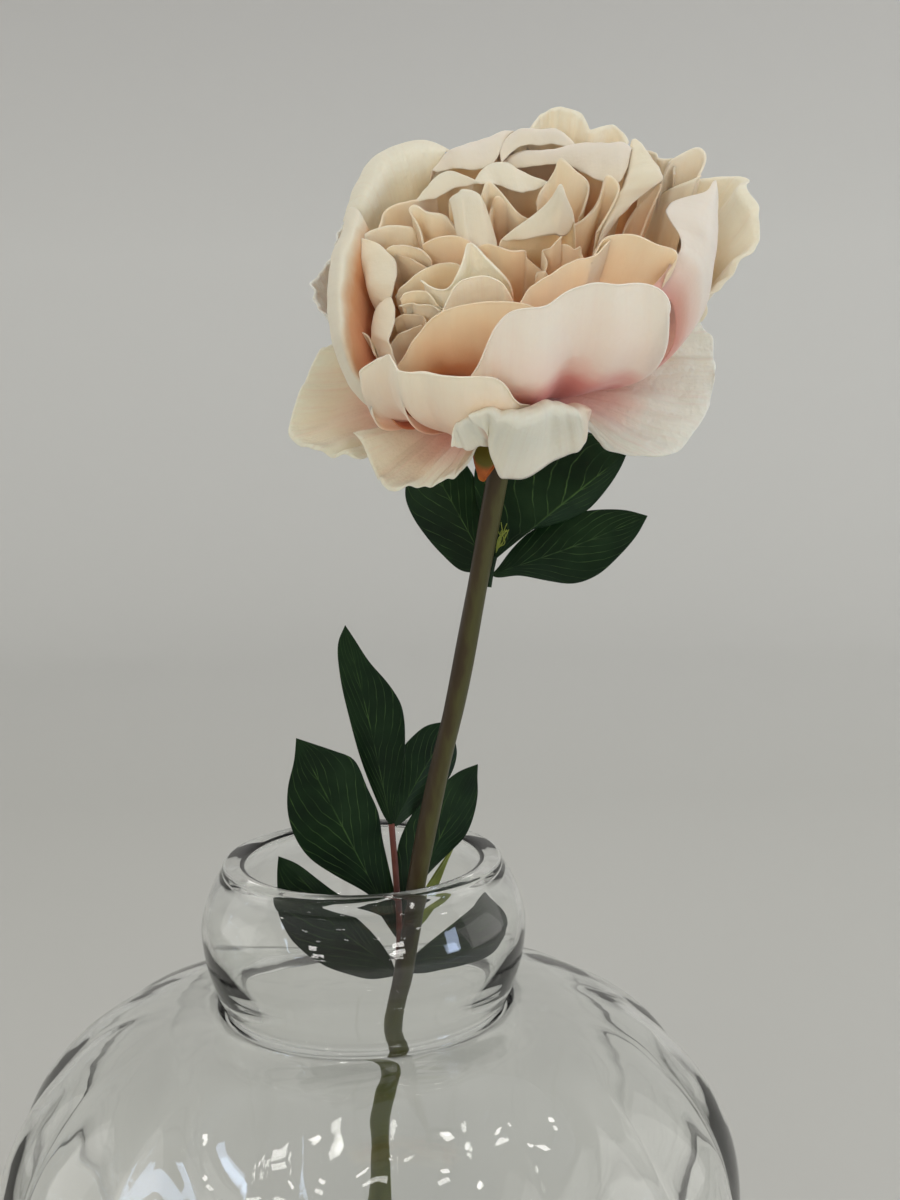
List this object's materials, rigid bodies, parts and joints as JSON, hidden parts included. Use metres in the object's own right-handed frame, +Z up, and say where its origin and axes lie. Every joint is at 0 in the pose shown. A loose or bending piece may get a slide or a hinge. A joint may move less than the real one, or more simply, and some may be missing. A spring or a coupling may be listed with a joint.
{
  "type": "artificial peony stem in a lobed glass vase",
  "caption": "Double peony bloom on a coated stem with two leaf sprays, leaning in a round clear glass vase with upright lobes and a bulged collar.",
  "frame": {"origin": "middle of the vase's flat foot, on the surface that it stands on", "axes": "+Z up along the vase's axis; -Y is the side that the bloom faces and the picture is taken from, +X to its right"},
  "size_m": [0.2324, 0.2448, 0.4181],
  "materials": {
    "clear_glass": "clear, fire polished, thick at rim and foot",
    "coated_stem": "satin olive and brown coating over wire",
    "calyx_plastic": "satin green, one sepal orange",
    "white_petal": "soft matt petal, cream white with pink feet and faint veins",
    "blush_petal": "soft matt petal, cream lip shading to blush pink",
    "peach_petal": "soft matt petal, cream lip shading to peach",
    "leaf_fabric": "coated woven leaf, dark green with thin pale veins, red-brown stalk"
  },
  "bodies": {
    "root": {"vase": "clear_glass", "stem": "coated_stem", "calyx": "calyx_plastic", "guard_petals": "white_petal", "bowl_petals": "blush_petal", "inner_petals": "peach_petal", "upper_leaf_spray": "leaf_fabric", "lower_leaf_spray": "leaf_fabric"}
  },
  "joints": []
}
